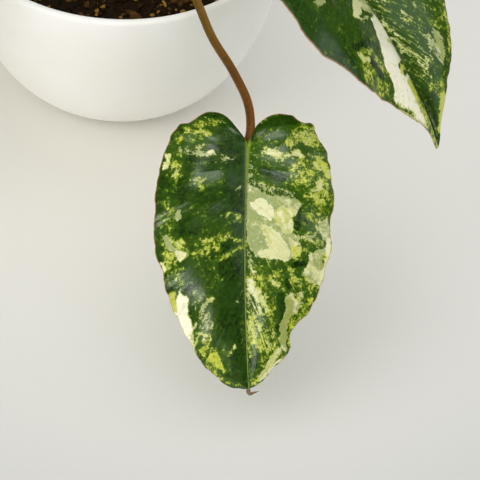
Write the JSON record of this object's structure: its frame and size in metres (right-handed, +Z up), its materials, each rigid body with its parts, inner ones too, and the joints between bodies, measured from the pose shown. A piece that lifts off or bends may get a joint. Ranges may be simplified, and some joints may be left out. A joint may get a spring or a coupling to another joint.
{
  "type": "potted variegated philodendron burle-marxii",
  "caption": "Young climbing philodendron with marbled heart-shaped leaves on long stalks, standing in potting mix in a round white bowl pot with a flat foot.",
  "frame": {"origin": "centre of the pot's flat foot", "axes": "+Z up along the pot's axis; the front leaf hangs towards -Y and +X"},
  "size_m": [0.29, 0.358, 0.2621],
  "materials": {
    "glaze": "satin white glaze",
    "potting_mix": "loose bark and peat",
    "stem_bark": "matte green-brown skin",
    "stalk_skin": "satin red-brown skin",
    "leaf_skin": "waxy, marbled green and cream",
    "young_leaf": "waxy pale green"
  },
  "bodies": {
    "root": {"pot": "glaze", "soil": "potting_mix", "stem_tall": "stem_bark", "stem_short": "stem_bark", "stalk_front": "stalk_skin", "leaf_front": "leaf_skin", "stalk_right": "stalk_skin", "leaf_right": "leaf_skin", "stalk_left": "stalk_skin", "leaf_left": "leaf_skin", "stalk_back_right": "stalk_skin", "leaf_back_right": "leaf_skin", "stalk_top": "stalk_skin", "leaf_top": "leaf_skin", "stalk_low_left": "stalk_skin", "leaf_low_left": "leaf_skin", "stalk_back": "stalk_skin", "leaf_back": "leaf_skin", "stalk_back_left": "stalk_skin", "leaf_back_left": "leaf_skin", "stalk_rolled": "stalk_skin", "leaf_rolled": "young_leaf"}
  },
  "joints": []
}
